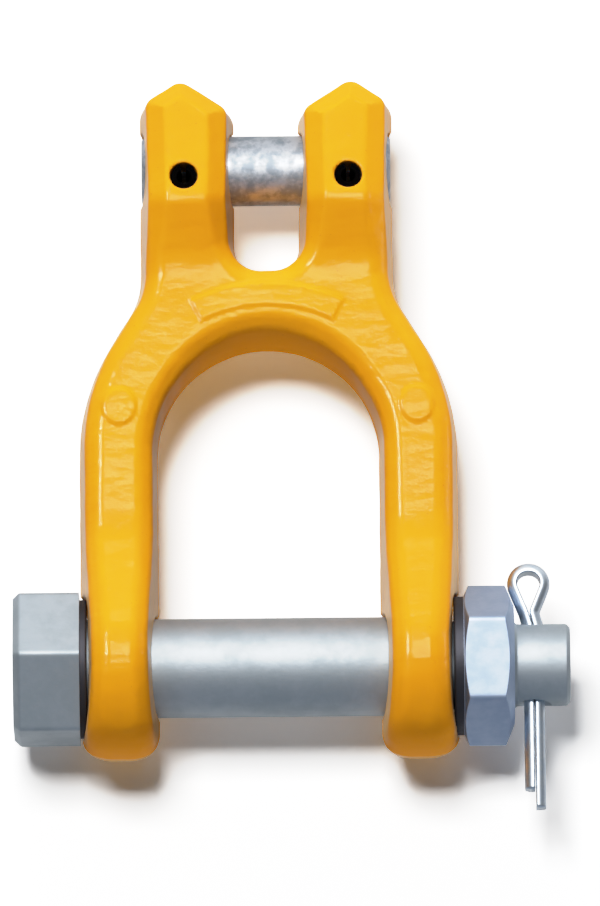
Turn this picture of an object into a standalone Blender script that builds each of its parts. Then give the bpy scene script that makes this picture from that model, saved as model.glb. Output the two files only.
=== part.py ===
"""Clevis chain shackle: a drafted forging, a load pin locked in its clevis by two
spring pins, and a bolt, thin nut and cotter pin through its eyes.

Metres. +Z runs up the load line, X along both pins, and Y from front to back.
The frame's origin is the middle of the whole object's box. Each piece is modelled
from the bolt's axis, midway between the legs, and hangs on an empty placed there.
"""
import math

import bmesh
import bpy
import numpy as np
from mathutils import Vector

MM = 0.001

# Forging, seen from the front: x from the load line, z from the bolt's axis
PIN_SPACING = 98.5 * MM
SLOT_HALF = 6.3 * MM
SLOT_CORNER = 5.2 * MM
SLOT_FLOOR_Z = 77.8 * MM
EAR_TOP_Z = 115.2 * MM
EAR_PEAK_X = 16.4 * MM
EAR_OUTER = 24.2 * MM
EAR_CORNER = 3.8 * MM
GABLE_SLOPE = math.radians(34)
NECK_Z = 73.2 * MM
NECK_RADIUS = 14.0 * MM
SHOULDER_Z = 53.6 * MM
SHOULDER_RADIUS = 41.2 * MM
LEG_INNER = 21.3 * MM
LEG_OUTER = 36.2 * MM
ARCH_TOP_Z = 62.6 * MM
EYE_RADIUS = 18.8 * MM
EYE_CORNER = 6.0 * MM

# Forging, seen from the side: half-depths at the heights where the profile turns
LEG_DEPTH = 10.0 * MM
LEG_FOOT_Z = 24.2 * MM
CROWN_TOP_Z = 77.5 * MM
HEAD_DEPTH = 15.5 * MM
HEAD_CREASE_Z = 89.3 * MM
EAR_TOP_DEPTH = 11.2 * MM

# Draft: (share of the half-depth, inset from the parting line) across a flank
DRAFT_STEPS = ((0.0, 0.0), (0.78, 1.35 * MM), (1.0, 3.4 * MM))

# Bores in the forging
FIT_GAP = 0.3 * MM
BOLT_BORE_RADIUS = 9.9 * MM
SPOTFACE_RADIUS = 13.8 * MM
SPOTFACE_X = 34.9 * MM

# Load pin and the two spring pins that cross it
LOAD_PIN_RADIUS = 6.75 * MM
LOAD_PIN_LENGTH = 48.0 * MM
LOAD_PIN_CHAMFER = 0.7 * MM
SPRING_PIN_RADIUS = 2.35 * MM
SPRING_PIN_BORE = 1.4 * MM
SPRING_PIN_LENGTH = 28.0 * MM
SPRING_PIN_SLIT = math.radians(36)
SPRING_PIN_X = 15.8 * MM
SPRING_PIN_DROP = 4.6 * MM

# Bolt and nut: x from the load line
ACROSS_FLATS = 27.0 * MM
HEAD_FACE_X = -36.5 * MM
HEAD_HEIGHT = 12.7 * MM
HEAD_BEVEL = 1.2 * MM
HEAD_TURN = math.radians(-1.2)
COLLAR_RADIUS = 13.3 * MM
COLLAR_END_X = SPOTFACE_X + FIT_GAP
SHANK_RADIUS = 9.5 * MM
SHANK_END_X = 34.6 * MM
THREAD_RADIUS = 8.85 * MM
THREAD_END_X = 47.2 * MM
TIP_RADIUS = 7.85 * MM
TIP_END_X = 57.4 * MM
TIP_CHAMFER = 0.7 * MM
NUT_FACE_X = 36.3 * MM
NUT_HEIGHT = 10.4 * MM
NUT_BORE_RADIUS = 9.1 * MM
NUT_CHAMFER_RADIUS = 11.4 * MM
NUT_CHAMFER = 1.75 * MM
NUT_TURN = math.radians(23.4)

# Cotter pin: x from its own hole, z from the bolt's axis
COTTER_X = 50.5 * MM
COTTER_HOLE_RADIUS = 2.35 * MM
COTTER_SINK_RADIUS = 3.6 * MM
COTTER_SINK_Z = 6.9 * MM
COTTER_WIRE_RADIUS = 1.9 * MM
COTTER_HALF_GAP = 0.1 * MM
COTTER_EYE_SHIFT = -0.9 * MM
COTTER_BEND_Z = 7.0 * MM
COTTER_NECK_Z = 10.3 * MM
COTTER_EYE_TOP_Z = 18.0 * MM
COTTER_EYE_HALF = 3.2 * MM
COTTER_EYE_RADIUS = 2.1 * MM
COTTER_BEND_RADIUS = 2.0 * MM
COTTER_SHORT_END_Z = -24.5 * MM
COTTER_LONG_END_Z = -28.1 * MM

# Facets: how far a flat may stand off a true curve, and the sides of a turned piece
CHORD_ERROR = 0.05 * MM
ROUND_SIDES = 48
EYE_STEPS = 12
WIRE_STEPS = 8
SHARP_ANGLE = math.radians(28)
REPEAT_DISTANCE = 0.01 * MM
SLICE_DISTANCE = 0.001 * MM

# How far a cutting solid runs past the surface it cuts
OVERSHOOT = 5.0 * MM

# Middle of the whole object's box, from the bolt's axis midway between the legs
BOX_MIDDLE_X = (HEAD_FACE_X - HEAD_HEIGHT + TIP_END_X) / 2
BOX_MIDDLE_Z = (EAR_TOP_Z + COTTER_LONG_END_Z) / 2


def clear_scene():
    for old in list(bpy.data.objects):
        bpy.data.objects.remove(old)


def linear_colour(red, green, blue):
    """A display colour, 0 to 255, as the linear values a material takes."""
    shares = [channel / 255 for channel in (red, green, blue)]
    return [s / 12.92 if s < 0.04045 else ((s + 0.055) / 1.055) ** 2.4 for s in shares] + [1.0]


def make_material(name, colour, roughness, metallic):
    material = bpy.data.materials.new(name)
    material.use_nodes = True
    shader = material.node_tree.nodes["Principled BSDF"]
    shader.inputs["Base Color"].default_value = linear_colour(*colour)
    shader.inputs["Roughness"].default_value = roughness
    shader.inputs["Metallic"].default_value = metallic
    return material


def add_object(name, bm, parent=None):
    mesh = bpy.data.meshes.new(name)
    bm.to_mesh(mesh)
    bm.free()
    mesh.shade_smooth()
    mesh.set_sharp_from_angle(angle=SHARP_ANGLE)
    thing = bpy.data.objects.new(name, mesh)
    bpy.context.collection.objects.link(thing)
    thing.parent = parent
    return thing


def add_guide(name, bm, parent):
    """A helper solid for a Boolean: not a piece of the shackle."""
    guide = add_object(name, bm, parent)
    guide.display_type = "WIRE"
    guide.hide_render = True
    return guide


def boolean(target, guide, operation):
    modifier = target.modifiers.new(guide.name, "BOOLEAN")
    modifier.object = guide
    modifier.operation = operation
    modifier.solver = "EXACT"


def fillet(corner, before, after, radius):
    """Points of the arc that rounds a corner between unit directions before and after."""
    half = before.angle(after) / 2
    start = before * (radius / math.tan(half))
    centre = (before + after).normalized() * (radius / math.sin(half))
    turn = math.pi - 2 * half
    sense = -1 if before.x * after.y - before.y * after.x > 0 else 1
    steps = max(1, math.ceil(turn / (2 * math.acos(1 - CHORD_ERROR / radius))))
    spoke = start - centre
    points = []
    for i in range(steps + 1):
        angle = sense * turn * i / steps
        turned_spoke = Vector((
            spoke.x * math.cos(angle) - spoke.y * math.sin(angle),
            spoke.x * math.sin(angle) + spoke.y * math.cos(angle),
        ))
        points.append(corner + centre + turned_spoke)
    return points


def rounded_chain(corners):
    """A chain of (x, z, radius) corners as points, each inner corner rounded to its radius."""
    places = [Vector((x, z)) for x, z, _ in corners]
    points = [places[0]]
    for i in range(1, len(corners) - 1):
        before = (places[i - 1] - places[i]).normalized()
        after = (places[i + 1] - places[i]).normalized()
        points += fillet(places[i], before, after, corners[i][2])
    return points + [places[-1]]


def without_repeats(points):
    kept = [points[0]]
    for point in points[1:]:
        if (point - kept[-1]).length > REPEAT_DISTANCE:
            kept.append(point)
    return kept


def forging_outline():
    """Right half of the parting line, from the slot's floor round to the arch's top."""
    rise = EAR_CORNER * (1 / math.cos(GABLE_SLOPE) - 1)
    peak_z = EAR_TOP_Z + rise
    inner_z = peak_z - (EAR_PEAK_X - SLOT_HALF) * math.tan(GABLE_SLOPE)
    outer_z = peak_z - (EAR_OUTER - EAR_PEAK_X) * math.tan(GABLE_SLOPE)
    return without_repeats(rounded_chain([
        (0.0, SLOT_FLOOR_Z, 0.0),
        (SLOT_HALF, SLOT_FLOOR_Z, SLOT_CORNER),
        (SLOT_HALF, inner_z, EAR_CORNER),
        (EAR_PEAK_X, peak_z, EAR_CORNER),
        (EAR_OUTER, outer_z, EAR_CORNER),
        (EAR_OUTER, NECK_Z, NECK_RADIUS),
        (LEG_OUTER, SHOULDER_Z, SHOULDER_RADIUS),
        (LEG_OUTER, -EYE_RADIUS, EYE_CORNER),
        (LEG_INNER, -EYE_RADIUS, EYE_CORNER),
        (LEG_INNER, ARCH_TOP_Z, LEG_INNER),
        (0.0, ARCH_TOP_Z, 0.0),
    ]))


def side_profile():
    """Heights and half-depths of the forging's front face, from the eye's foot to the ear's top."""
    reach = math.hypot(LEG_DEPTH, LEG_FOOT_Z)
    tangent = math.atan2(LEG_FOOT_Z, LEG_DEPTH) - math.acos(EYE_RADIUS / reach)
    angles = np.linspace(-math.pi / 2, tangent, EYE_STEPS + 1)
    heights = [EYE_RADIUS * math.sin(a) for a in angles]
    depths = [EYE_RADIUS * math.cos(a) for a in angles]
    heights += [LEG_FOOT_Z, CROWN_TOP_Z, HEAD_CREASE_Z, EAR_TOP_Z]
    depths += [LEG_DEPTH, LEG_DEPTH, HEAD_DEPTH, EAR_TOP_DEPTH]
    return heights, depths


def inset_ring(outline, distance):
    """The outline moved into the metal, which lies on the right of its direction of travel."""
    first, last = outline[0], outline[-1]
    mirrored_start = Vector((-outline[1].x, outline[1].y))
    mirrored_end = Vector((-outline[-2].x, outline[-2].y))
    chain = [mirrored_start, first] + outline[1:-1] + [last, mirrored_end]
    ring = []
    for before, here, after in zip(chain, chain[1:], chain[2:]):
        arriving = (here - before).normalized()
        leaving = (after - here).normalized()
        normal_in = Vector((arriving.y, -arriving.x))
        normal_out = Vector((leaving.y, -leaving.x))
        mitre = (normal_in + normal_out) / (1 + normal_in.dot(normal_out))
        ring.append(here + mitre * distance)
    return ring


def forging_quarter():
    """Front right quarter: a drafted blank, sliced where the side profile turns, then pushed out to it."""
    bm = bmesh.new()
    outline = forging_outline()
    rings = []
    for share, inset in DRAFT_STEPS:
        ring = inset_ring(outline, inset)
        rings.append([bm.verts.new((p.x, -share * LEG_DEPTH, p.y)) for p in ring])
    for outer, inner in zip(rings, rings[1:]):
        for i in range(len(outline) - 1):
            bm.faces.new((inner[i], inner[i + 1], outer[i + 1], outer[i]))
    bm.faces.new(rings[-1][::-1])

    heights, depths = side_profile()
    for height in heights[1:-1]:
        everything = bm.verts[:] + bm.edges[:] + bm.faces[:]
        bmesh.ops.bisect_plane(
            bm, geom=everything, dist=SLICE_DISTANCE, plane_co=(0, 0, height), plane_no=(0, 0, 1))
    for vertex in bm.verts:
        vertex.co.y *= float(np.interp(vertex.co.z, heights, depths)) / LEG_DEPTH
    return bm


def turned(profile, sides=ROUND_SIDES, phase=0.0):
    """A solid of revolution about X from (x, radius) points in order of x, its ends on the axis."""
    bm = bmesh.new()
    start = bm.verts.new((profile[0][0], 0, 0))
    end = bm.verts.new((profile[-1][0], 0, 0))
    rings = []
    for x, radius in profile[1:-1]:
        ring = []
        for i in range(sides):
            angle = phase + 2 * math.pi * i / sides
            ring.append(bm.verts.new((x, -radius * math.cos(angle), radius * math.sin(angle))))
        rings.append(ring)
    for i in range(sides):
        j = (i + 1) % sides
        bm.faces.new((start, rings[0][i], rings[0][j]))
        bm.faces.new((end, rings[-1][j], rings[-1][i]))
        for low, high in zip(rings, rings[1:]):
            bm.faces.new((low[i], high[i], high[j], low[j]))
    return bm


def hexagon(x_low, x_high, turn, bevel=0.0):
    """A hexagonal bar, its six edges at the low end bevelled at 45 degrees to the flats."""
    circumradius = ACROSS_FLATS / math.sqrt(3)
    profile = [(x_low, 0), (x_low + bevel, circumradius), (x_high, circumradius), (x_high, 0)]
    if bevel:
        profile.insert(1, (x_low, circumradius - bevel * 2 / math.sqrt(3)))
    return turned(profile, sides=6, phase=turn)


def cylinder(x_low, x_high, radius):
    return turned([(x_low, 0), (x_low, radius), (x_high, radius), (x_high, 0)])


def lay_across(guide_bm, *places):
    """Copies of a solid made along X, turned to lie along Y at each (x, z) place."""
    source = bpy.data.meshes.new("cross_solid")
    guide_bm.to_mesh(source)
    guide_bm.free()
    bm = bmesh.new()
    for x, z in places:
        known = set(bm.verts)
        bm.from_mesh(source)
        for vertex in [v for v in bm.verts if v not in known]:
            along, aside, up = vertex.co
            vertex.co = (x - aside, along, z + up)
    bpy.data.meshes.remove(source)
    return bm


def add_forged_body(parent):
    body = add_object("forged_body", forging_quarter(), parent)
    mirror = body.modifiers.new("quarters", "MIRROR")
    mirror.use_axis = (True, True, False)
    mirror.merge_threshold = REPEAT_DISTANCE

    reach = LEG_OUTER + OVERSHOOT
    bolt_bore = add_guide("bolt_bore_guide", turned([
        (-reach, 0),
        (-reach, SPOTFACE_RADIUS),
        (-SPOTFACE_X, SPOTFACE_RADIUS),
        (-SPOTFACE_X, BOLT_BORE_RADIUS),
        (SPOTFACE_X, BOLT_BORE_RADIUS),
        (SPOTFACE_X, SPOTFACE_RADIUS),
        (reach, SPOTFACE_RADIUS),
        (reach, 0),
    ]), parent)
    boolean(body, bolt_bore, "DIFFERENCE")

    pin_bore = add_guide("load_pin_bore_guide", cylinder(-reach, reach, LOAD_PIN_RADIUS + FIT_GAP), parent)
    pin_bore.location.z = PIN_SPACING
    boolean(body, pin_bore, "DIFFERENCE")
    body.data.materials.append(make_material("yellow_paint", (244, 189, 26), 0.32, 0.0))
    return body


def add_load_pin(body):
    half = LOAD_PIN_LENGTH / 2
    neck = LOAD_PIN_RADIUS - LOAD_PIN_CHAMFER
    pin = add_object("load_pin", turned([
        (-half, 0),
        (-half, neck),
        (-half + LOAD_PIN_CHAMFER, LOAD_PIN_RADIUS),
        (half - LOAD_PIN_CHAMFER, LOAD_PIN_RADIUS),
        (half, neck),
        (half, 0),
    ]), body)
    pin.location.z = PIN_SPACING
    pin.data.materials.append(make_material("load_pin_steel", (176, 186, 194), 0.5, 0.8))

    reach = HEAD_DEPTH + OVERSHOOT
    across = cylinder(-reach, reach, SPRING_PIN_RADIUS + FIT_GAP)
    cross_bores = add_guide("spring_pin_bore_guide", lay_across(
        across, (-SPRING_PIN_X, -SPRING_PIN_DROP), (SPRING_PIN_X, -SPRING_PIN_DROP)), body)
    cross_bores.location.z = PIN_SPACING
    boolean(body, cross_bores, "DIFFERENCE")
    boolean(pin, cross_bores, "DIFFERENCE")
    return pin


def split_tube():
    """A tube along Y with a lengthwise slit, as one folded strip of wall."""
    bm = bmesh.new()
    steps = ROUND_SIDES // 2
    sweep = 2 * math.pi - SPRING_PIN_SLIT
    ends = []
    for y in (-SPRING_PIN_LENGTH / 2, SPRING_PIN_LENGTH / 2):
        rims = []
        for radius in (SPRING_PIN_RADIUS, SPRING_PIN_BORE):
            rim = []
            for i in range(steps + 1):
                angle = SPRING_PIN_SLIT / 2 + sweep * i / steps
                rim.append(bm.verts.new((radius * math.sin(angle), y, radius * math.cos(angle))))
            rims.append(rim)
        ends.append(rims)
    (front_out, front_in), (back_out, back_in) = ends
    for i in range(steps):
        bm.faces.new((front_out[i], front_in[i], front_in[i + 1], front_out[i + 1]))
        bm.faces.new((back_out[i], back_out[i + 1], back_in[i + 1], back_in[i]))
        bm.faces.new((front_out[i], front_out[i + 1], back_out[i + 1], back_out[i]))
        bm.faces.new((front_in[i], back_in[i], back_in[i + 1], front_in[i + 1]))
    bm.faces.new((front_out[0], back_out[0], back_in[0], front_in[0]))
    bm.faces.new((front_out[-1], front_in[-1], back_in[-1], back_out[-1]))
    bmesh.ops.recalc_face_normals(bm, faces=bm.faces[:])
    return bm


def add_spring_pins(load_pin):
    for side, x in (("left", -SPRING_PIN_X), ("right", SPRING_PIN_X)):
        pin = add_object("spring_pin_" + side, split_tube(), load_pin)
        pin.location = (x, 0, -SPRING_PIN_DROP)
        pin.data.materials.append(make_material("spring_steel_" + side, (46, 44, 44), 0.55, 0.7))


def add_bolt(bolt_axis):
    head = hexagon(HEAD_FACE_X - HEAD_HEIGHT, HEAD_FACE_X, HEAD_TURN, HEAD_BEVEL)
    bolt = add_object("safety_bolt", head, bolt_axis)
    bolt.data.materials.append(make_material("bolt_zinc", (178, 185, 190), 0.42, 0.9))

    shank = add_guide("shank_guide", turned([
        (HEAD_FACE_X - HEAD_HEIGHT / 2, 0),
        (HEAD_FACE_X - HEAD_HEIGHT / 2, COLLAR_RADIUS),
        (-COLLAR_END_X, COLLAR_RADIUS),
        (-COLLAR_END_X, SHANK_RADIUS),
        (SHANK_END_X, SHANK_RADIUS),
        (SHANK_END_X, THREAD_RADIUS),
        (THREAD_END_X - (THREAD_RADIUS - TIP_RADIUS), THREAD_RADIUS),
        (THREAD_END_X, TIP_RADIUS),
        (TIP_END_X - TIP_CHAMFER, TIP_RADIUS),
        (TIP_END_X, TIP_RADIUS - TIP_CHAMFER),
        (TIP_END_X, 0),
    ]), bolt_axis)
    boolean(bolt, shank, "UNION")

    sink_depth = COTTER_SINK_RADIUS - COTTER_HOLE_RADIUS
    reach = TIP_RADIUS + OVERSHOOT
    cotter_hole = add_guide("cotter_hole_guide", turned([
        (-reach, 0),
        (-reach, COTTER_SINK_RADIUS),
        (-COTTER_SINK_Z - sink_depth, COTTER_SINK_RADIUS),
        (-COTTER_SINK_Z, COTTER_HOLE_RADIUS),
        (COTTER_SINK_Z, COTTER_HOLE_RADIUS),
        (COTTER_SINK_Z + sink_depth, COTTER_SINK_RADIUS),
        (reach, COTTER_SINK_RADIUS),
        (reach, 0),
    ]), bolt_axis)
    cotter_hole.location.x = COTTER_X
    cotter_hole.rotation_euler.y = math.pi / 2
    boolean(bolt, cotter_hole, "DIFFERENCE")


def add_nut(bolt_axis):
    circumradius = ACROSS_FLATS / math.sqrt(3)
    nut = add_object("hex_nut", hexagon(-NUT_CHAMFER, NUT_HEIGHT + NUT_CHAMFER, NUT_TURN), bolt_axis)
    nut.location.x = NUT_FACE_X
    nut.data.materials.append(make_material("nut_zinc", (196, 208, 218), 0.35, 0.9))

    chamfers = add_guide("nut_chamfer_guide", turned([
        (0, 0),
        (0, NUT_CHAMFER_RADIUS),
        (NUT_CHAMFER, circumradius),
        (NUT_HEIGHT - NUT_CHAMFER, circumradius),
        (NUT_HEIGHT, NUT_CHAMFER_RADIUS),
        (NUT_HEIGHT, 0),
    ]), nut)
    boolean(nut, chamfers, "INTERSECT")
    collar = add_guide(
        "nut_collar_guide", cylinder(COLLAR_END_X - NUT_FACE_X, NUT_HEIGHT / 2, COLLAR_RADIUS), nut)
    boolean(nut, collar, "UNION")
    bore = add_guide(
        "nut_bore_guide", cylinder(-OVERSHOOT, NUT_HEIGHT + OVERSHOOT, NUT_BORE_RADIUS), nut)
    boolean(nut, bore, "DIFFERENCE")


def cotter_path():
    """Centre line of the wire's flat side, up the short leg, round the eye and down the long leg."""
    gap, shift = COTTER_HALF_GAP, COTTER_EYE_SHIFT
    return rounded_chain([
        (-gap, COTTER_SHORT_END_Z, 0.0),
        (-gap, COTTER_BEND_Z, COTTER_BEND_RADIUS),
        (shift - gap, COTTER_NECK_Z, COTTER_BEND_RADIUS),
        (shift - COTTER_EYE_HALF, COTTER_EYE_TOP_Z, COTTER_EYE_RADIUS),
        (shift + COTTER_EYE_HALF, COTTER_EYE_TOP_Z, COTTER_EYE_RADIUS),
        (shift + gap, COTTER_NECK_Z, COTTER_BEND_RADIUS),
        (gap, COTTER_BEND_Z, COTTER_BEND_RADIUS),
        (gap, COTTER_LONG_END_Z, 0.0),
    ])


def add_cotter_pin(bolt_axis):
    """Half-round wire: at each station a half circle stands on the path, on its left."""
    bm = bmesh.new()
    path = without_repeats(cotter_path())
    stations = []
    for i, here in enumerate(path):
        before = path[max(i - 1, 0)]
        after = path[min(i + 1, len(path) - 1)]
        travel = (after - before).normalized()
        outward = Vector((-travel.y, travel.x))
        station = []
        for k in range(WIRE_STEPS + 1):
            angle = math.pi * (k / WIRE_STEPS - 0.5)
            place = here + outward * (COTTER_WIRE_RADIUS * math.cos(angle))
            station.append(bm.verts.new((place.x, COTTER_WIRE_RADIUS * math.sin(angle), place.y)))
        stations.append(station)
    for low, high in zip(stations, stations[1:]):
        for k in range(WIRE_STEPS + 1):
            m = (k + 1) % (WIRE_STEPS + 1)
            bm.faces.new((low[k], high[k], high[m], low[m]))
    bm.faces.new(stations[0])
    bm.faces.new(stations[-1][::-1])
    bmesh.ops.recalc_face_normals(bm, faces=bm.faces[:])
    cotter = add_object("cotter_pin", bm, bolt_axis)
    cotter.location.x = COTTER_X
    cotter.data.materials.append(make_material("cotter_zinc", (205, 216, 226), 0.25, 1.0))


def build():
    clear_scene()
    bolt_axis = bpy.data.objects.new("bolt_axis", None)
    bpy.context.collection.objects.link(bolt_axis)
    bolt_axis.location = (-BOX_MIDDLE_X, 0, -BOX_MIDDLE_Z)
    body = add_forged_body(bolt_axis)
    load_pin = add_load_pin(body)
    add_spring_pins(load_pin)
    add_bolt(bolt_axis)
    add_nut(bolt_axis)
    add_cotter_pin(bolt_axis)


build()
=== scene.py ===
import math

import bpy
import numpy as np
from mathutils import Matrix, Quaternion, Vector


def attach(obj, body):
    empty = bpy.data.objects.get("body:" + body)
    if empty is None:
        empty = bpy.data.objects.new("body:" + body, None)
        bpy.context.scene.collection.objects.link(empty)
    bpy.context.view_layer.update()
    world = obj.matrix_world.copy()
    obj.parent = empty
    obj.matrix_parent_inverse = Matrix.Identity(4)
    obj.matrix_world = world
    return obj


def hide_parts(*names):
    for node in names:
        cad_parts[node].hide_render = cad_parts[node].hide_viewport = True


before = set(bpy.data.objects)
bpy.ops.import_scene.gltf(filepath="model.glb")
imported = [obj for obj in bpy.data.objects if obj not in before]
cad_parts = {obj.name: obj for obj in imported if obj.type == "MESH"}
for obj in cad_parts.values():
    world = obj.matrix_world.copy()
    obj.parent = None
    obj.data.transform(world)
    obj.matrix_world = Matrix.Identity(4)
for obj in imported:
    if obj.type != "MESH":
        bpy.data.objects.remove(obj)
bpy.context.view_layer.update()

MM = 0.001
HEAD_END_X, TIP_END_X = -49.2, 57.4
EAR_TOP_Z, COTTER_FOOT_Z = 115.2, -28.1
FRAME_SHIFT = np.array([-(HEAD_END_X + TIP_END_X) / 2, 0.0, -(EAR_TOP_Z + COTTER_FOOT_Z) / 2])

# Forging, seen from the front
SLOT_HALF, SLOT_CORNER, SLOT_FLOOR_Z = 6.3, 5.2, 77.8
EAR_PEAK_X, EAR_OUTER, EAR_CORNER = 16.4, 24.2, 3.8
GABLE_SLOPE = math.radians(34)
NECK_Z, NECK_RADIUS = 73.2, 14.0
SHOULDER_Z, SHOULDER_RADIUS = 53.6, 41.2
LEG_INNER, LEG_OUTER, ARCH_TOP_Z = 21.3, 36.2, 62.6
EYE_RADIUS, EYE_CORNER = 18.8, 6.0

# Forging, seen from the side
LEG_DEPTH, LEG_FOOT_Z = 10.0, 24.2
CROWN_TOP_Z, HEAD_DEPTH, HEAD_CREASE_Z, EAR_TOP_DEPTH = 77.5, 15.5, 89.3, 11.2
DRAFT, ARCH_DRAFT = 0.13, 0.2
BEVEL, HEAD_BEVEL = 2.2, 3.1
EDGE, HEAD_EDGE = 0.9, 0.4
TAPER_JOIN, EYE_JOIN, HEAD_JOIN = 0.9, 2.1, 1.5
PARTING_RIDGE, PARTING_WIDTH = 0.1, 0.9
SLOW_WAVES, FINE_WAVES = 0.045, 0.02

# Blank pads where the real forging has raised marks
ARC_RADIUS, ARC_HALF_WIDTH, ARC_HALF_TURN = 30.2, 2.3, 0.47
DOT_X, DOT_Z, DOT_RADIUS, DOT_SQUEEZE = 28.6, 49.5, 3.6, 0.9
PAD_HEIGHT, PAD_EDGE = 0.38, 0.6

# Holes in the forging
PIN_Z, PIN_RADIUS, PIN_HALF, PIN_PLAY, PIN_CHAMFER = 98.5, 6.75, 24.0, 0.3, 0.7
CROSS_X, CROSS_Z, CROSS_RADIUS, CROSS_ROUNDING = 15.8, 93.9, 2.65, 0.5
BOLT_BORE, SPOTFACE_X, SPOTFACE_RADIUS = 9.9, 34.9, 13.8
HOLE_ROUNDING = 0.6

# Bolt, nut and cotter pin
APOTHEM = 13.5
HEAD_FACE_X, HEAD_TURN, HEAD_CHAMFER = -36.5, math.radians(-1.2), 1.2
HEAD_RIM_RADIUS, HEAD_CONE, HEAD_OUTER_RADIUS = 14.6, 2.9, 17.5
COLLAR_RADIUS, COLLAR_END_X = 13.3, 35.2
SHANK_RADIUS, SHANK_END_X = 9.5, 34.6
THREAD_RADIUS, THREAD_END_X, THREAD_PITCH, THREAD_RUNOUT = 8.85, 47.2, 2.0, 1.0
THREAD_SLOPE, THREAD_CREST, THREAD_DEEPEST = 1.1, 0.1, 0.8
TIP_RADIUS, TIP_CHAMFER = 7.85, 0.7
NUT_X, NUT_HEIGHT, NUT_TURN = 36.3, 10.4, math.radians(23.4)
NUT_BORE, NUT_CHAMFER_RADIUS, NUT_CHAMFER = 9.1, 11.4, 1.75
NUT_OUTER_RADIUS, NUT_SINK, NUT_THREAD_SLOPE, NUT_THREAD_FADE = 17.0, 0.9, 1.2, 0.4
COTTER_X, COTTER_HOLE, COTTER_SINK, COTTER_SINK_Z = 50.5, 2.35, 3.6, 6.9
WIRE_RADIUS, WIRE_GAP, WIRE_SHIFT, WIRE_CORNER, WIRE_ROUNDING = 1.9, 0.1, -0.9, 0.3, 1.55
SHORT_LEG_Z, LEG_BEND_Z, WIRE_NECK_Z, WIRE_TOP_Z = -24.5, 7.0, 10.3, 18.0
EYE_HALF, EYE_BEND, NECK_BEND = 3.2, 2.1, 2.0

# Fineness of the meshes
GRID, GRID_MARGINS, NUDGE = 0.55, np.array([1.5, 1.3, 1.4]), 0.02
HEX_SIDES, PIN_SIDES, CROSS_SIDES, COTTER_HOLE_SIDES = 240, 160, 64, 72
BOLT_SPACING, NUT_SPACING, NUT_BORE_SPACING, PIN_SPACING = 0.45, 0.22, 0.2, 0.6
WIRE_SPACING, SECTION_SPACING = 0.35, 0.14
CUTTER_REACH, CROSS_CUTTER_REACH = 12, 10
SHARP_ANGLE = math.radians(40)


# ---------------------------------------------------------------- shapes

def smooth_max(a, b, k):
    h = np.maximum(k - np.abs(a - b), 0.0) / k
    return np.maximum(a, b) + h * h * k / 4


def smooth_min(a, b, k):
    return -smooth_max(-a, -b, k)


def chain_parts(corners):
    """Lines and arcs through (x, z, radius) corners, as (start, end, centre or None)."""
    places = [Vector((x, z)) for x, z, _ in corners]
    parts = []
    here = places[0]
    for i in range(1, len(places) - 1):
        corner, radius = places[i], corners[i][2]
        back = (places[i - 1] - corner).normalized()
        onward = (places[i + 1] - corner).normalized()
        half = back.angle(onward) / 2
        run = radius / math.tan(half)
        centre = corner + (back + onward).normalized() * (radius / math.sin(half))
        parts.append((here, corner + back * run, None))
        parts.append((corner + back * run, corner + onward * run, centre))
        here = corner + onward * run
    parts.append((here, places[-1], None))
    return [p for p in parts if (p[1] - p[0]).length > 1e-4]


def chain_points(parts, spacing):
    """Points along a chain, no further apart than spacing."""
    points = [np.array(parts[0][0])]
    for start, end, centre in parts:
        if centre is None:
            steps = max(1, math.ceil((end - start).length / spacing))
            run = [start.lerp(end, i / steps) for i in range(1, steps + 1)]
        else:
            spoke, last = start - centre, end - centre
            turn = math.atan2(spoke.x * last.y - spoke.y * last.x, spoke.dot(last))
            steps = max(2, math.ceil(abs(turn) * spoke.length / spacing))
            run = []
            for i in range(1, steps + 1):
                c, s = math.cos(turn * i / steps), math.sin(turn * i / steps)
                run.append(centre + Vector((spoke.x * c - spoke.y * s, spoke.x * s + spoke.y * c)))
        points += [np.array(p) for p in run]
    return np.array(points)


def chain_distance(parts, x, z):
    """Distance from a chain, negative on the right of its direction of travel."""
    best = np.full(np.broadcast(x, z).shape, 1e9)
    for start, end, centre in parts:
        if centre is None:
            run = end - start
            length = run.length
            ux, uz = run / length
            along = (x - start.x) * ux + (z - start.y) * uz
            aside = (z - start.y) * ux - (x - start.x) * uz
            over = along - np.clip(along, 0, length)
            distance = np.copysign(np.hypot(aside, over), aside)
        else:
            spoke, last = start - centre, end - centre
            radius = spoke.length
            middle = (spoke + last).normalized()
            px, pz = x - centre.x, z - centre.y
            reach = np.hypot(px, pz)
            clockwise = spoke.x * last.y < spoke.y * last.x
            distance = reach - radius if clockwise else radius - reach
            inside = px * middle.x + pz * middle.y >= reach * (middle.dot(spoke) / radius)
            distance = np.where(inside, distance, 1e9)
        best = np.where(np.abs(distance) < np.abs(best), distance, best)
    return best


def forging_outline():
    rise = EAR_CORNER * (1 / math.cos(GABLE_SLOPE) - 1)
    peak_z = EAR_TOP_Z + rise
    inner_z = peak_z - (EAR_PEAK_X - SLOT_HALF) * math.tan(GABLE_SLOPE)
    outer_z = peak_z - (EAR_OUTER - EAR_PEAK_X) * math.tan(GABLE_SLOPE)
    return chain_parts([
        (-2.0, SLOT_FLOOR_Z, 0.0),
        (SLOT_HALF, SLOT_FLOOR_Z, SLOT_CORNER),
        (SLOT_HALF, inner_z, EAR_CORNER),
        (EAR_PEAK_X, peak_z, EAR_CORNER),
        (EAR_OUTER, outer_z, EAR_CORNER),
        (EAR_OUTER, NECK_Z, NECK_RADIUS),
        (LEG_OUTER, SHOULDER_Z, SHOULDER_RADIUS),
        (LEG_OUTER, -EYE_RADIUS, EYE_CORNER),
        (LEG_INNER, -EYE_RADIUS, EYE_CORNER),
        (LEG_INNER, ARCH_TOP_Z, LEG_INNER),
        (-2.0, ARCH_TOP_Z, 0.0),
    ])


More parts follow.
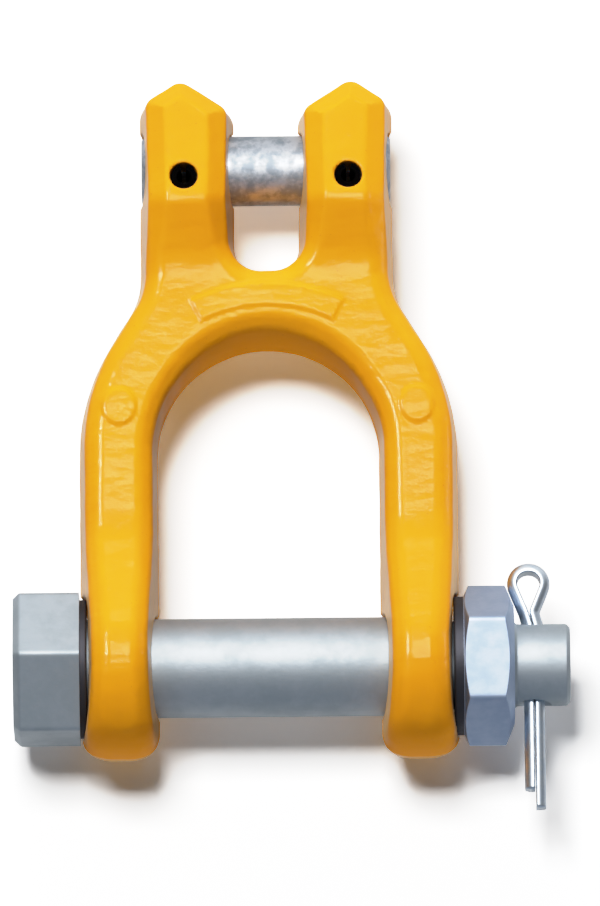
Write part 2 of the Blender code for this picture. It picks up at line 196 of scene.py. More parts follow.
OUTLINE = forging_outline()


def plane(ay, z, low, high):
    """Distance in front of the plane through two (depth, z) points, low and high."""
    run_y, run_z = high[0] - low[0], high[1] - low[1]
    length = math.hypot(run_y, run_z)
    return ((ay - low[0]) * run_z - (z - low[1]) * run_y) / length


def step_up(value, low, high):
    t = np.clip((value - low) / (high - low), 0, 1)
    return t * t * (3 - 2 * t)


def raised_marks(x, y, z):
    """Height of the blank pads on the front of the crown and of the upper legs."""
    front = step_up(-y, 6, 8)
    centre_z = ARCH_TOP_Z - LEG_INNER
    reach = np.hypot(x, z - centre_z)
    turn = np.abs(np.arctan2(x, z - centre_z))
    arc = np.maximum(np.abs(reach - ARC_RADIUS) - ARC_HALF_WIDTH, (turn - ARC_HALF_TURN) * ARC_RADIUS)
    left = np.hypot((x + DOT_X) / DOT_SQUEEZE, z - DOT_Z) - DOT_RADIUS
    right = np.hypot((x - DOT_X) / DOT_SQUEEZE, z - DOT_Z) - DOT_RADIUS
    pad = np.minimum(arc, np.minimum(left, right))
    return PAD_HEIGHT * front * step_up(-pad, -PAD_EDGE, PAD_EDGE)


def unevenness(x, y, z):
    """Slow waves of a hammered skin."""
    waves = np.sin(0.41 * x + 0.23 * z + 1.3) * np.sin(0.37 * z - 0.19 * x + 0.31 * y)
    finer = np.sin(0.93 * x - 0.71 * z + 0.5 * y) * np.sin(0.83 * z + 0.64 * x + 2.1)
    return SLOW_WAVES * waves + FINE_WAVES * finer


def front_outline(ax, ay, y, z):
    """Below zero inside the drafted outline, with a low ridge along the parting line."""
    arch = np.exp(-(ax / 15) ** 2 - ((z - ARCH_TOP_Z) / 8) ** 2)
    flank = chain_distance(OUTLINE, ax, z) + (DRAFT + ARCH_DRAFT * arch) * ay
    return flank - PARTING_RIDGE * np.exp(-(y / PARTING_WIDTH) ** 2)


def side_profile(ay, z):
    """Below zero inside the side profile: round eye, thin leg, slope and tapered head."""
    reach = math.hypot(LEG_DEPTH, LEG_FOOT_Z)
    tangent = math.atan2(LEG_FOOT_Z, LEG_DEPTH) - math.acos(EYE_RADIUS / reach)
    slanted = ay * math.cos(tangent) + z * math.sin(tangent) - EYE_RADIUS
    eye = np.where(np.arctan2(z, ay) > tangent, slanted, np.hypot(ay, z) - EYE_RADIUS)
    leg = np.maximum(ay - LEG_DEPTH, 5 - z)
    slope = plane(ay, z, (LEG_DEPTH, CROWN_TOP_Z), (HEAD_DEPTH, HEAD_CREASE_Z))
    taper = plane(ay, z, (HEAD_DEPTH, HEAD_CREASE_Z), (EAR_TOP_DEPTH, EAR_TOP_Z))
    head = smooth_max(slope, taper, TAPER_JOIN)
    return smooth_min(smooth_min(leg, eye, EYE_JOIN), head, HEAD_JOIN)


def forging(x, y, z):
    """Below zero inside the forging."""
    ax, ay = np.abs(x), np.abs(y)
    flank = front_outline(ax, ay, y, z)
    side = side_profile(ay, z)

    on_head = step_up(z, CROWN_TOP_Z, HEAD_CREASE_Z)
    edge = EDGE + (HEAD_EDGE - EDGE) * on_head
    bevel = (flank + side + BEVEL + (HEAD_BEVEL - BEVEL) * on_head) * math.sqrt(0.5)
    body = smooth_max(smooth_max(flank, side, edge), bevel, edge)
    body = body - raised_marks(x, y, z) - unevenness(x, y, z)

    across = np.hypot(y, z)
    body = smooth_max(body, BOLT_BORE - across, HOLE_ROUNDING)
    body = smooth_max(body, np.minimum(ax - SPOTFACE_X, SPOTFACE_RADIUS - across), HOLE_ROUNDING)
    body = smooth_max(body, PIN_RADIUS + PIN_PLAY - np.hypot(y, z - PIN_Z), HOLE_ROUNDING)
    return smooth_max(body, CROSS_RADIUS - np.hypot(ax - CROSS_X, z - CROSS_Z), CROSS_ROUNDING)


def gradient(field, points):
    slopes = []
    for axis in range(3):
        nudge = np.zeros(3)
        nudge[axis] = NUDGE
        slopes.append((field(*(points + nudge).T) - field(*(points - nudge).T)) / (2 * NUDGE))
    return np.stack(slopes, axis=1)


def net(field, low, high, step):
    """Points and quads over a field's zero surface, one point for each grid cell it crosses."""
    axes = [np.arange(a, b + step, step) for a, b in zip(low, high)]
    grid = field(*np.meshgrid(*axes, indexing="ij", sparse=True))
    inside = grid < 0
    size = np.array(grid.shape) - 1
    corners = [np.array([i, j, k]) for i in (0, 1) for j in (0, 1) for k in (0, 1)]
    spans = [tuple(slice(a, a + n) for a, n in zip(corner, size)) for corner in corners]
    count = sum(inside[span].astype(np.int8) for span in spans)
    active = (count > 0) & (count < 8)
    cells = np.argwhere(active)
    index = np.full(active.shape, -1)
    index[active] = np.arange(len(cells))

    total, crossings = np.zeros((len(cells), 3)), np.zeros((len(cells), 1))
    for a in corners:
        for b in corners:
            if (b - a).sum() != 1 or (b < a).any():
                continue
            at_a = grid[tuple((cells + a).T)]
            at_b = grid[tuple((cells + b).T)]
            crossed = ((at_a < 0) != (at_b < 0))[:, None]
            share = at_a / np.where(at_a == at_b, 1, at_a - at_b)
            total += np.where(crossed, a + share[:, None] * (b - a), 0)
            crossings += crossed
    points = np.array(low) + step * (cells + total / crossings)

    quads = []
    for axis in range(3):
        side, top = np.roll(np.eye(3, dtype=int), axis, axis=0)[1:]
        along = np.roll(np.eye(3, dtype=int), axis, axis=0)[0]
        stop = np.array(grid.shape) - along
        first = inside[:stop[0], :stop[1], :stop[2]]
        second = inside[along[0]:, along[1]:, along[2]:]
        places = np.argwhere(first != second)
        flip = first[tuple(places.T)]
        ring = [places, places - side, places - side - top, places - top]
        quad = np.stack([index[tuple(r.T)] for r in ring], axis=1)
        quads.append(np.where(flip[:, None], quad, quad[:, ::-1]))
    return points, np.concatenate(quads)


def add_mesh(name, points, faces, normals=None):
    """A smooth-shaded object from points in millimetres, with its own normals if given."""
    mesh = bpy.data.meshes.new(name)
    mesh.from_pydata(((points + FRAME_SHIFT) * MM).tolist(), [], [list(f) for f in faces])
    mesh.shade_smooth()
    if normals is not None:
        mesh.normals_split_custom_set_from_vertices(normals.tolist())
    thing = bpy.data.objects.new(name, mesh)
    bpy.context.scene.collection.objects.link(thing)
    return thing


def add_forging():
    """The forging's surface, its points drawn onto the true zero surface step by step."""
    low = np.array([-LEG_OUTER, -EYE_RADIUS, -EYE_RADIUS]) - GRID_MARGINS
    high = np.array([LEG_OUTER, EYE_RADIUS, EAR_TOP_Z]) + GRID_MARGINS
    points, quads = net(forging, low, high, GRID)
    for _ in range(4):
        slope = gradient(forging, points)
        step = forging(*points.T)[:, None] * slope / (slope ** 2).sum(axis=1, keepdims=True)
        points = points - np.clip(step, -0.5 * GRID, 0.5 * GRID)
    slope = gradient(forging, points)
    normals = slope / np.linalg.norm(slope, axis=1, keepdims=True)
    return add_mesh("forging", points, quads.tolist(), normals)


def rings_to_mesh(name, rings, looped=False):
    """A skin over equal rings of points; its ends are closed by a fan unless it is looped."""
    sides = len(rings[0])
    points = np.concatenate(rings)
    faces = []
    count = len(rings)
    for r in range(count if looped else count - 1):
        a, b = r * sides, ((r + 1) % count) * sides
        for i in range(sides):
            j = (i + 1) % sides
            faces.append((a + i, b + i, b + j, a + j))
    if not looped:
        points = np.concatenate([points, [rings[0].mean(axis=0), rings[-1].mean(axis=0)]])
        first, last = len(points) - 2, len(points) - 1
        top = (count - 1) * sides
        for i in range(sides):
            j = (i + 1) % sides
            faces.append((first, i, j))
            faces.append((last, top + j, top + i))
    return add_mesh(name, points, faces)


def circle(x, radius, angles):
    """Ring about the x axis; radius may change with the angle."""
    radius = np.broadcast_to(radius, angles.shape)
    along = np.full(angles.shape, x)
    return np.stack([along, -radius * np.cos(angles), radius * np.sin(angles)], axis=1)


def full_turn(sides):
    return np.linspace(0, 2 * math.pi, sides, endpoint=False)


def thread_wave(x, angles):
    """Zigzag from 1 to 0 and back, once for each pitch of a left-handed thread."""
    return np.abs(((x / THREAD_PITCH - angles / (2 * math.pi)) % 1) * 2 - 1)


def hex_radius(angles, turn):
    """Radius of a hexagon with slightly rounded corners, corners at turn."""
    shares = [np.maximum(np.cos(angles - turn - math.radians(30 + 60 * k)), 0) for k in range(6)]
    return APOTHEM / sum(s ** 90 for s in shares) ** (1 / 90)


def spaced(points, spacing):
    """(x, radius) profile points with extra ones between, no further apart than spacing."""
    dense = [points[0]]
    for (xa, ra), (xb, rb) in zip(points, points[1:]):
        steps = max(1, math.ceil(math.hypot(xb - xa, rb - ra) / spacing))
        for i in range(1, steps + 1):
            dense.append((xa + (xb - xa) * i / steps, ra + (rb - ra) * i / steps))
    return dense


def rounded_profile(corners, spacing):
    """(x, radius, rounding) corners as a dense profile."""
    return [tuple(p) for p in chain_points(chain_parts(corners), spacing)]


def bolt_profile():
    return rounded_profile([
        (HEAD_END_X, 0.4, 0),
        (HEAD_END_X, HEAD_RIM_RADIUS, 0.3),
        (HEAD_END_X + HEAD_CONE, HEAD_OUTER_RADIUS, 0.3),
        (HEAD_FACE_X, HEAD_OUTER_RADIUS, 0.3),
        (HEAD_FACE_X, COLLAR_RADIUS, 0.1),
        (-COLLAR_END_X, COLLAR_RADIUS, 0.25),
        (-COLLAR_END_X, SHANK_RADIUS, 0.3),
        (SHANK_END_X - 0.8, SHANK_RADIUS, 0.4),
        (SHANK_END_X, THREAD_RADIUS, 0.2),
        (THREAD_END_X - THREAD_RUNOUT, THREAD_RADIUS, 0.4),
        (THREAD_END_X, TIP_RADIUS, 0.3),
        (TIP_END_X - TIP_CHAMFER, TIP_RADIUS, 0.3),
        (TIP_END_X, TIP_RADIUS - TIP_CHAMFER, 0.3),
        (TIP_END_X, 0.4, 0),
    ], BOLT_SPACING)


def add_cotter_hole_cutter():
    """Upright pin with a wide end above and below, where the cotter hole is countersunk."""
    sink = COTTER_SINK - COTTER_HOLE
    profile = [
        (-CUTTER_REACH, COTTER_SINK),
        (-COTTER_SINK_Z - sink, COTTER_SINK),
        (-COTTER_SINK_Z, COTTER_HOLE),
        (COTTER_SINK_Z, COTTER_HOLE),
        (COTTER_SINK_Z + sink, COTTER_SINK),
        (CUTTER_REACH, COTTER_SINK),
    ]
    rings = []
    for height, radius in profile:
        ring = circle(height, radius, full_turn(COTTER_HOLE_SIDES))
        rings.append(np.stack([ring[:, 1] + COTTER_X, ring[:, 2], ring[:, 0]], axis=1))
    return rings_to_mesh("cotter_hole_cutter", rings)


def add_bolt():
    """Bolt with a hexagonal head, a threaded end and the cotter's hole."""
    angles = full_turn(HEX_SIDES)
    hexagon = hex_radius(angles, HEAD_TURN)
    rings = []
    for x, radius in bolt_profile():
        ring = np.full(angles.shape, radius)
        if x <= HEAD_FACE_X + 1e-6:
            bevel = np.clip(HEAD_END_X + HEAD_CHAMFER - x, 0, HEAD_CHAMFER)
            ring = smooth_min(ring, hexagon - bevel, 0.4)
        if SHANK_END_X < x < THREAD_END_X - THREAD_RUNOUT:
            wave = thread_wave(x, angles)
            ring = ring - THREAD_SLOPE * np.clip(wave - THREAD_CREST, 0, THREAD_DEEPEST)
        rings.append(circle(x, ring, angles))
    bolt = rings_to_mesh("bolt", rings)
    cutter = add_cotter_hole_cutter()
    cut_away(bolt, cutter)
    bake(bolt, cutter)
    return bolt


def cut_away(thing, cutter):
    cut = thing.modifiers.new(cutter.name, "BOOLEAN")
    cut.object = cutter
    cut.operation = "DIFFERENCE"
    cut.solver = "EXACT"


def bake(thing, *guides):
    """Applies the modifiers and removes the guides they used."""
    bpy.context.view_layer.update()
    graph = bpy.context.evaluated_depsgraph_get()
    mesh = bpy.data.meshes.new_from_object(thing.evaluated_get(graph))
    thing.modifiers.clear()
    thing.data = mesh
    mesh.shade_smooth()
    mesh.set_sharp_from_angle(angle=SHARP_ANGLE)
    for guide in guides:
        bpy.data.objects.remove(guide)


def nut_profiles(low, high):
    """The nut's outside and its bore, from one end face to the other and back."""
    grow = (2 * APOTHEM / math.sqrt(3) - NUT_CHAMFER_RADIUS) / NUT_CHAMFER
    cone = (NUT_OUTER_RADIUS - NUT_CHAMFER_RADIUS) / grow
    outside = rounded_profile([
        (low, NUT_BORE + NUT_SINK, 0),
        (low, COLLAR_RADIUS, 0.25),
        (NUT_X + (COLLAR_RADIUS - NUT_CHAMFER_RADIUS) / grow, COLLAR_RADIUS, 0.1),
        (NUT_X + cone, NUT_OUTER_RADIUS, 0.3),
        (high - cone, NUT_OUTER_RADIUS, 0.3),
        (high, NUT_CHAMFER_RADIUS, 0.4),
        (high, NUT_BORE + NUT_SINK, 0),
    ], NUT_SPACING)
    bore = spaced([
        (high, NUT_BORE + NUT_SINK),
        (high - NUT_SINK, NUT_BORE),
        (low + NUT_SINK, NUT_BORE),
        (low, NUT_BORE + NUT_SINK),
    ], NUT_BORE_SPACING)
    return outside, bore[1:-1]


def add_nut():
    """Hexagonal nut, chamfered on both sides, with a thread in its bore."""
    angles = full_turn(HEX_SIDES)
    hexagon = hex_radius(angles, NUT_TURN)
    low, high = COLLAR_END_X, NUT_X + NUT_HEIGHT
    outside, bore = nut_profiles(low, high)
    rings = []
    for x, radius in outside:
        ring = np.full(angles.shape, radius)
        if x > NUT_X:
            ring = smooth_min(ring, hexagon, 0.3)
        rings.append(circle(x, ring, angles))
    for x, radius in bore:
        ring = np.full(angles.shape, radius)
        depth = np.clip(min(x - low, high - x) - NUT_SINK, 0, NUT_THREAD_FADE)
        rings.append(circle(x, ring + NUT_THREAD_SLOPE * depth * thread_wave(x, angles), angles))
    nut = rings_to_mesh("nut", rings, looped=True)
    nut.data.set_sharp_from_angle(angle=SHARP_ANGLE)
    return nut


def add_cross_hole_cutter(x):
    """Round pin from front to back through one ear."""
    rings = []
    for depth in (-CROSS_CUTTER_REACH, CROSS_CUTTER_REACH):
        ring = circle(depth, CROSS_RADIUS, full_turn(CROSS_SIDES))
        rings.append(np.stack([ring[:, 1] + x, -ring[:, 0], ring[:, 2] + CROSS_Z], axis=1))
    return rings_to_mesh("cross_hole_cutter", rings)


def add_load_pin():
    """Plain pin across the ears, with a cross hole near each end."""
    angles = full_turn(PIN_SIDES)
    profile = rounded_profile([
        (-PIN_HALF, 0.3, 0),
        (-PIN_HALF, PIN_RADIUS - PIN_CHAMFER, 0.5),
        (-PIN_HALF + PIN_CHAMFER, PIN_RADIUS, 0.5),
        (PIN_HALF - PIN_CHAMFER, PIN_RADIUS, 0.5),
        (PIN_HALF, PIN_RADIUS - PIN_CHAMFER, 0.5),
        (PIN_HALF, 0.3, 0),
    ], PIN_SPACING)
    rings = [circle(x, radius, angles) + np.array([0, 0, PIN_Z]) for x, radius in profile]
    pin = rings_to_mesh("pin_visual", rings)

    cutters = [add_cross_hole_cutter(x) for x in (-CROSS_X, CROSS_X)]
    for cutter in cutters:
        cut_away(pin, cutter)
    bake(pin, *cutters)
    return pin


def add_cotter():
    """Half-round wire swept along its bent path."""
    gap, shift = WIRE_GAP, WIRE_SHIFT
    path = chain_points(chain_parts([
        (-gap, SHORT_LEG_Z, 0),
        (-gap, LEG_BEND_Z, NECK_BEND),
        (shift - gap, WIRE_NECK_Z, NECK_BEND),
        (shift - EYE_HALF, WIRE_TOP_Z, EYE_BEND),
        (shift + EYE_HALF, WIRE_TOP_Z, EYE_BEND),
        (shift + gap, WIRE_NECK_Z, NECK_BEND),
        (gap, LEG_BEND_Z, NECK_BEND),
        (gap, COTTER_FOOT_Z, 0),
    ]), WIRE_SPACING)
    travel = np.gradient(path, axis=0)
    travel /= np.linalg.norm(travel, axis=1, keepdims=True)
    outward = np.stack([-travel[:, 1], travel[:, 0]], axis=1)
    section = chain_points(chain_parts([
        (0.0, 0.0, 0.0),
        (0.0, -WIRE_RADIUS, WIRE_CORNER),
        (WIRE_RADIUS, -WIRE_RADIUS, WIRE_ROUNDING),
        (WIRE_RADIUS, WIRE_RADIUS, WIRE_ROUNDING),
        (0.0, WIRE_RADIUS, WIRE_CORNER),
        (0.0, 0.02, 0.0),
    ]), SECTION_SPACING)
    rings = []
    for here, out in zip(path, outward):
        x = COTTER_X + here[0] + out[0] * section[:, 0]
        z = here[1] + out[1] * section[:, 0]
        rings.append(np.stack([x, section[:, 1], z], axis=1))
    return rings_to_mesh("cotter", rings)


# ---------------------------------------------------------------- materials

class Shader:
    """A material's nodes, made one call at a time."""

    def __init__(self, name):
        self.material = bpy.data.materials.new(name)
        self.material.use_nodes = True
        self.tree = self.material.node_tree
        self.main = self.tree.nodes["Principled BSDF"]
        self.output = self.tree.nodes["Material Output"]
        self.place = self.add("ShaderNodeTexCoord").outputs["Object"]

    def add(self, kind, settings=None, **inputs):
        node = self.tree.nodes.new(kind)
        for key, value in (settings or {}).items():
            setattr(node, key, value)
        for key, value in inputs.items():
            self.set(node, key.replace("_", " "), value)
        return node

    def set(self, node, key, value):
        socket = node.inputs[int(key)] if key.isdigit() else node.inputs[key]
        if isinstance(value, bpy.types.NodeSocket):
            self.tree.links.new(value, socket)
        else:
            socket.default_value = value

    def noise(self, size, detail=3.0, stretch=None, rough=0.5):
        """Noise from 0 to 1 whose blotches are about size millimetres across."""
        place = self.place
        if stretch:
            place = self.add("ShaderNodeMapping", Vector=place, Scale=stretch).outputs["Vector"]
        scale = 1 / (size * MM)
        made = self.add("ShaderNodeTexNoise", Vector=place, Scale=scale, Detail=detail, Roughness=rough)
        return made.outputs["Fac"]

    def ramp(self, value, low, high, to_low=0.0, to_high=1.0):
        """Smooth change from to_low to to_high while value goes from low to high."""
        made = self.add("ShaderNodeMapRange", {"interpolation_type": "SMOOTHSTEP"}, Value=value)
        ends = {"From Min": low, "From Max": high, "To Min": to_low, "To Max": to_high}
        for key, number in ends.items():
            made.inputs[key].default_value = number
        return made.outputs["Result"]

    def mix(self, share, a, b):
        made = self.add("ShaderNodeMix", {"data_type": "RGBA"})
        self.set(made, "0", share)
        self.set(made, "6", a)
        self.set(made, "7", b)
        return made.outputs[2]

    def maths(self, operation, a, b):
        made = self.add("ShaderNodeMath", {"operation": operation})
        self.set(made, "0", a)
        self.set(made, "1", b)
        return made.outputs[0]

    def bump(self, height, depth, below=None):
        """Bump of a 0 to 1 height over depth millimetres, on top of another bump."""
        made = self.add("ShaderNodeBump", Strength=1.0, Distance=depth * MM, Height=height)
        if below is not None:
            self.set(made, "Normal", below)
        return made.outputs["Normal"]

    def finish(self, **inputs):
        for key, value in inputs.items():
            self.set(self.main, key.replace("_", " "), value)
        return self.material


def colour(red, green, blue):
    """A display colour, 0 to 255, as linear values."""
    shares = [channel / 255 for channel in (red, green, blue)]
    return [s / 12.92 if s < 0.04045 else ((s + 0.055) / 1.055) ** 2.4 for s in shares] + [1.0]


def paint():
    """Glossy coat over a dimpled skin, with painted shade in the hollows, a painted highlight on sharp
    edges and a painted reflection that makes the paint paler where seen at a slant.
    """
    yellow, deeper, painted_crease_shade = colour(247, 162, 24), colour(246, 158, 24), colour(222, 122, 12)
    edge, speck, slanted = colour(250, 182, 40), colour(205, 120, 25), colour(250, 222, 170)
    cast_on_others = (0.38, 0.19, 0.012, 1)
    s = Shader("yellow_paint")
    broad = s.noise(22, 2)
    blotch = s.noise(4.2, 3)
    dimples = s.noise(1.9, 2, stretch=(0.55, 1, 1.25))
    peel = s.noise(0.8, 2)
    base = s.mix(s.ramp(broad, 0.35, 0.65), yellow, deeper)
    pointiness = s.add("ShaderNodeNewGeometry").outputs["Pointiness"]
    # Painted shade: the paint turns darker and more orange in concave hollows and creases.
    base = s.mix(s.ramp(pointiness, 0.44, 0.49, 0.35, 0.0), base, painted_crease_shade)
    # Painted highlight: the paint turns paler along sharp convex edges.
    base = s.mix(s.ramp(pointiness, 0.53, 0.6, 0.0, 0.15), base, edge)
    specks = s.ramp(s.noise(0.7, 1), 0.73, 0.78)
    base = s.mix(s.maths("MULTIPLY", specks, 0.3), base, speck)
    bounced = s.add("ShaderNodeLightPath").outputs["Is Diffuse Ray"]
    base = s.mix(bounced, base, cast_on_others)
    rough = s.ramp(blotch, 0.3, 0.7, 0.3, 0.38)
    normal = s.bump(dimples, 0.07, s.bump(blotch, 0.12))
    skin = s.bump(peel, 0.03, s.bump(dimples, 0.13, s.bump(blotch, 0.16)))
    grazing = s.add("ShaderNodeLayerWeight", Blend=0.5).outputs["Facing"]
    # Painted reflection: at grazing angles the paint turns pale cream, standing in for the pale
    # backdrop mirrored in the flanks.
    base = s.mix(s.ramp(grazing, 0.68, 0.9, 0.0, 0.55), base, slanted)
    coat = s.ramp(grazing, 0.6, 0.88, 0.11, 0.45)
    return s.finish(
        Base_Color=base, Roughness=rough, Normal=normal, Specular_IOR_Level=0.01,
        Coat_Weight=coat, Coat_Roughness=0.11, Coat_Normal=skin,
    )


def zinc(name, tint, dark, rough_low, rough_high, blotch_size, blotch_depth,
         grain=None, marks=0.0, painted_shade_span=None):
    """Zinc plate: mottled tint and gloss, and if asked for a fine grain along one axis, small
    marks, and painted shade as a dark band between two places along the bolt, beside the forging."""
    s = Shader(name)
    blotch = s.noise(blotch_size, 4, rough=0.6)
    fine = s.noise(0.5, 2)
    base = s.mix(s.ramp(blotch, 0.36, 0.64), tint, dark)
    if painted_shade_span:
        along = s.add("ShaderNodeSeparateXYZ", Vector=s.place).outputs["X"]
        low, high = ((x + FRAME_SHIFT[0]) * MM for x in painted_shade_span)
        after, before = s.maths("GREATER_THAN", along, low), s.maths("LESS_THAN", along, high)
        within = s.maths("MULTIPLY", after, before)
        # Painted shade: dark grey over the collar, which sits in the shaded gap beside the forging.
        base = s.mix(within, base, colour(74, 74, 80))
    rough = s.ramp(blotch, 0.3, 0.7, rough_low, rough_high)
    normal = s.bump(blotch, blotch_depth)
    normal = s.bump(fine, 0.008, normal)
    if grain:
        normal = s.bump(s.noise(1.0, 2, stretch=grain), 0.010, normal)
    if marks:
        normal = s.bump(s.noise(1.6, 4, rough=0.65), marks, normal)
    return s.finish(Base_Color=base, Roughness=rough, Metallic=1.0, Normal=normal)


def black_steel_and_hole_shade():
    # Painted shade: the pins' black finish is made near-black and dull to stand in for the shade inside
    # the holes.
    s = Shader("black_spring_steel_and_hole_shade")
    blotch = s.noise(1.4, 3)
    base = s.mix(s.ramp(blotch, 0.35, 0.65), colour(12, 10, 11), colour(8, 7, 8))
    rough = s.ramp(blotch, 0.3, 0.7, 0.7, 0.85)
    normal = s.bump(blotch, 0.02)
    return s.finish(Base_Color=base, Specular_IOR_Level=0.08, Roughness=rough, Normal=normal)


def grey_of(level):
    return (level, level, level, 1)


def one_sided(name, seen_as, mirrored_as, bounce, camera_only=False):
    """Pale sheet seen from its front; its back lets everything through. It has one grey for
    the camera, one for mirrored rays and a colour for all others. A camera_only sheet lets
    all but the camera's rays through."""
    s = Shader(name)
    hidden = s.add("ShaderNodeNewGeometry").outputs["Backfacing"]
    path = s.add("ShaderNodeLightPath")
    seen = path.outputs["Is Camera Ray"]
    if camera_only:
        hidden = s.maths("MAXIMUM", hidden, s.maths("SUBTRACT", 1.0, seen))
    clear = s.add("ShaderNodeBsdfTransparent")
    shade = s.mix(path.outputs["Is Glossy Ray"], (*bounce, 1), grey_of(mirrored_as))
    shade = s.mix(seen, shade, grey_of(seen_as))
    pale = s.add("ShaderNodeBsdfDiffuse", Color=shade)
    mixed = s.add("ShaderNodeMixShader")
    s.set(mixed, "0", hidden)
    s.tree.links.new(pale.outputs[0], mixed.inputs[1])
    s.tree.links.new(clear.outputs[0], mixed.inputs[2])
    s.tree.links.new(mixed.outputs[0], s.output.inputs["Surface"])
    return s.material


# ---------------------------------------------------------------- stage, light, camera

def add_sheet(name, corners, material):
    mesh = bpy.data.meshes.new(name)
    mesh.from_pydata(corners, [], [(0, 1, 2, 3)])
    sheet = bpy.data.objects.new(name, mesh)
    bpy.context.scene.collection.objects.link(sheet)
    mesh.materials.append(material)
    return sheet


def add_stage():
    """Upright sheet just behind the shackle and a level one just below it, in metres."""
    back, reach, foot, floor_z = 0.0191, 0.4, -0.095, -0.0728
    upright = [(-reach, back, foot), (reach, back, foot), (reach, back, reach), (-reach, back, reach)]
    level = [(-reach, -reach), (reach, -reach), (reach, reach), (-reach, reach)]
    wall_white = one_sided("backdrop_white", 1.8, 0.52, (0.42, 0.3, 0.18))
    wall = add_sheet("backdrop", upright, wall_white)
    floor_white = one_sided("floor_white", 1.2, 0.8, (0.8, 0.8, 0.8), camera_only=True)
    floor = add_sheet("floor", [(x, y, floor_z) for x, y in level], floor_white)
    wall.visible_shadow = False
    return [wall, floor]


def aim(thing, azimuth, elevation, distance, target=Vector((0, 0, 0)), roll=0.0):
    """Places a light or camera round a target: azimuth 0 is in front, positive to the right."""
    a, e = math.radians(azimuth), math.radians(elevation)
    away = Vector((math.sin(a) * math.cos(e), -math.cos(a) * math.cos(e), math.sin(e)))
    thing.location = target + away * distance
    thing.rotation_mode = "QUATERNION"
    level = (-away).to_track_quat("-Z", "Y")
    thing.rotation_quaternion = Quaternion(away, math.radians(roll)) @ level


def add_light(name, azimuth, elevation, distance, width, height, power, tint=(1, 1, 1)):
    """Rectangular light aimed at the middle of the shackle: degrees, metres and watts."""
    data = bpy.data.lights.new(name, "AREA")
    data.shape = "RECTANGLE"
    data.size, data.size_y = width, height
    data.energy = power
    data.color = tint
    light = bpy.data.objects.new(name, data)
    bpy.context.scene.collection.objects.link(light)
    aim(light, azimuth, elevation, distance)
    return light


def limit(light, pieces):
    """Lets a light fall only on the pieces it is given."""
    lit = bpy.data.collections.new(light.name)
    for piece in pieces:
        lit.objects.link(piece)
    light.light_linking.receiver_collection = lit


def add_sheen(name, pieces, azimuth, elevation, distance, width, height, power, tint=(1, 1, 1)):
    """A light that is only seen mirrored in the pieces it is given."""
    light = add_light(name, azimuth, elevation, distance, width, height, power, tint)
    light.visible_diffuse = False
    limit(light, pieces)


def add_lights(forging_piece, metals, stage):
    key_distance, key_size = 1.3, 0.42
    sheen_distance, sheen_size, warm = 0.75, 0.25, (1, 0.92, 0.62)
    wall_key = add_light("wall_key", -9, 11, key_distance, key_size, key_size, 19.4)
    wall_key.visible_glossy = False
    limit(wall_key, stage)
    paint_key = add_light("paint_key", -9, 25, key_distance, key_size, key_size, 21.3)
    paint_key.visible_glossy = False
    limit(paint_key, [forging_piece])
    add_sheen("metal_sheen", metals, 0, 18, sheen_distance, sheen_size, sheen_size, 4.8)
    add_sheen("paint_sheen", [forging_piece], 1, 4.8, sheen_distance, sheen_size, sheen_size, 6.1, warm)
    add_sheen("side_sheen", [forging_piece], -34, 10, key_distance, 0.35, 0.5, 46, (1, 0.97, 0.85))
    add_sheen("crease_sheen", [forging_piece], 0, 50, sheen_distance, sheen_size, 0.06, 0.8, warm)
    right_fill = add_light("right_fill", 97, 8, key_distance, 0.4, 0.5, 6)
    limit(right_fill, [forging_piece])
    back_key = add_light("back_key", 190, 22, key_distance, key_size, key_size, 8)
    limit(back_key, [forging_piece])
    foot_fill = add_light("foot_fill", 180, -70, 0.8, 0.3, 0.3, 2.6)
    limit(foot_fill, [forging_piece])
    foot_fill.visible_glossy = False
    add_light("top", -3, 72, 1.1, 0.5, 0.5, 3.6).visible_glossy = False


def add_world():
    """Sky that is bright above and below and dark at the middle, weaker in diffuse light, and
    plain pale grey for the camera."""
    world = bpy.data.worlds.new("studio")
    bpy.context.scene.world = world
    world.use_nodes = True
    tree = world.node_tree
    sky = tree.nodes["Background"]
    place = tree.nodes.new("ShaderNodeTexCoord")
    split = tree.nodes.new("ShaderNodeSeparateXYZ")
    ramp = tree.nodes.new("ShaderNodeValToRGB")
    shift = tree.nodes.new("ShaderNodeMapRange")
    tree.links.new(place.outputs["Generated"], split.inputs[0])
    tree.links.new(split.outputs["Z"], shift.inputs["Value"])
    shift.inputs["From Min"].default_value = -1
    tree.links.new(shift.outputs["Result"], ramp.inputs[0])
    stops = ramp.color_ramp.elements
    stops[0].position, stops[0].color = 0.12, (0.25, 0.28, 0.33, 1)
    low = stops.new(0.30)
    low.color = (0.17, 0.18, 0.195, 1)
    stops[2].position, stops[2].color = 0.87, (0.78, 0.8, 0.83, 1)
    middle = stops.new(0.6)
    middle.color = (0.07, 0.07, 0.075, 1)
    path = tree.nodes.new("ShaderNodeLightPath")
    weaker = tree.nodes.new("ShaderNodeMapRange")
    weaker.inputs["To Min"].default_value = 1.0
    weaker.inputs["To Max"].default_value = 0.21
    tree.links.new(path.outputs["Is Diffuse Ray"], weaker.inputs["Value"])
    tree.links.new(weaker.outputs["Result"], sky.inputs["Strength"])
    mix = tree.nodes.new("ShaderNodeMix")
    mix.data_type = "RGBA"
    tree.links.new(path.outputs["Is Camera Ray"], mix.inputs[0])
    tree.links.new(ramp.outputs[0], mix.inputs[6])
    mix.inputs[7].default_value = (0.9, 0.9, 0.9, 1)
    tree.links.new(mix.outputs[2], sky.inputs["Color"])


def add_camera():
    data = bpy.data.cameras.new("camera")
    camera = bpy.data.objects.new("camera", data)
    bpy.context.scene.collection.objects.link(camera)
    sensor, distance, view_height = 36, 3.0, 0.1742
    data.sensor_width = sensor
    data.lens = sensor / 2 / (view_height / 2 / distance)
    data.clip_end = 20
    aim(camera, 0, -14, distance, Vector((0.00195, 0, -0.0012)), roll=-0.55)
    bpy.context.scene.camera = camera


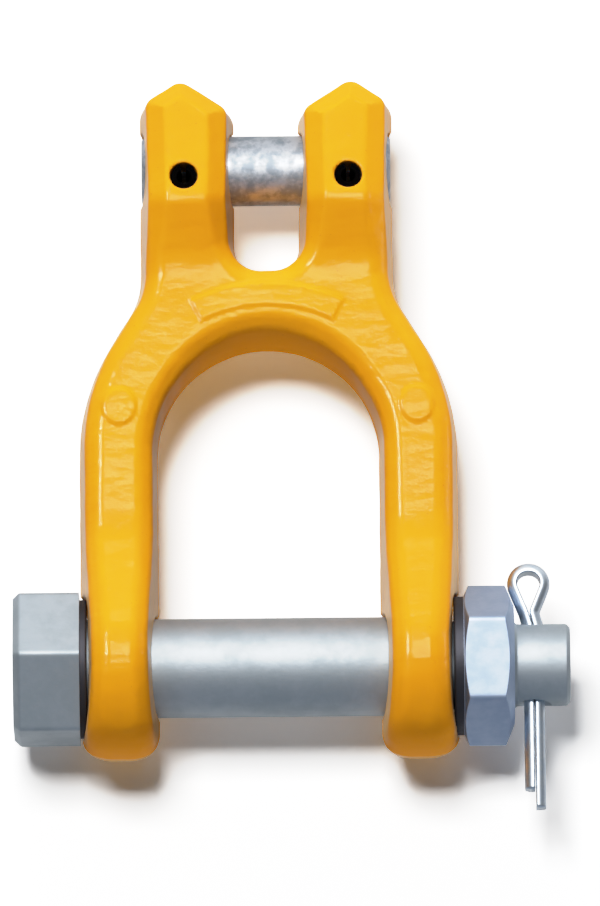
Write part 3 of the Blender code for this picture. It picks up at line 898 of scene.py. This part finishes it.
def set_film():
    """Shows light up to about a half as it is, then a soft shoulder that is white at two."""
    view = bpy.context.scene.view_settings
    view.view_transform = "Standard"
    view.use_curve_mapping = True
    mapping = view.curve_mapping
    white = 2
    mapping.white_level = (white, white, white)
    curve = mapping.curves[3]
    curve.points[1].location = (1, 1)
    shoulder = ((0.5, 0.5), (0.74, 0.708), (0.85, 0.776), (1.05, 0.84), (1.33, 0.9), (1.6, 0.95))
    for light, shown in shoulder:
        curve.points.new(light / white, shown)
    mapping.update()


def dress(piece, body, slot, material, *nodes):
    """Gives a piece its material and body, and hides the nodes it stands in for. The slot is not used.
    """
    piece.data.materials.clear()
    piece.data.materials.append(material)
    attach(piece, body)
    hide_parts(*nodes)
    return piece


def build():
    """Makes and dresses every piece; returns the forging and the list of metal pieces."""
    forging_piece = dress(add_forging(), "shackle", "yellow_paint", paint(), "forged_body")
    pin_steel = zinc(
        "mottled_pin_steel", colour(208, 213, 219), colour(160, 170, 180), 0.5, 0.62, 2.6, 0.05,
        grain=(0.25, 1, 1),
    )
    metals = [dress(add_load_pin(), "shackle", "load_pin_steel", pin_steel, "load_pin")]
    bolt_zinc = zinc(
        "satin_bolt_zinc", colour(192, 201, 207), colour(183, 193, 199), 0.58, 0.64, 6.0, 0.02,
        grain=(0.12, 1, 1), marks=0.035, painted_shade_span=(HEAD_FACE_X + 0.02, 0.1 - COLLAR_END_X),
    )
    metals.append(dress(add_bolt(), "bolt", "bolt_zinc", bolt_zinc, "safety_bolt"))
    nut_zinc = zinc(
        "bright_nut_zinc", colour(184, 200, 224), colour(176, 194, 220), 0.52, 0.58, 3.0, 0.008,
        painted_shade_span=(COLLAR_END_X - 0.1, NUT_X + 0.7),
    )
    metals.append(dress(add_nut(), "nut", "nut_zinc", nut_zinc, "hex_nut"))
    wire = zinc(
        "bright_wire_zinc", colour(226, 236, 245), colour(206, 220, 234), 0.34, 0.4, 2.0, 0.006,
    )
    metals.append(dress(add_cotter(), "cotter", "cotter_zinc", wire, "cotter_pin"))
    black = black_steel_and_hole_shade()
    for side in ("left", "right"):
        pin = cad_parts["spring_pin_" + side]
        pin.data.materials.clear()
        pin.data.materials.append(black)
    return forging_piece, metals


forging_object, metal_objects = build()
stage_sheets = add_stage()
add_world()
add_lights(forging_object, metal_objects, stage_sheets)
add_camera()
set_film()
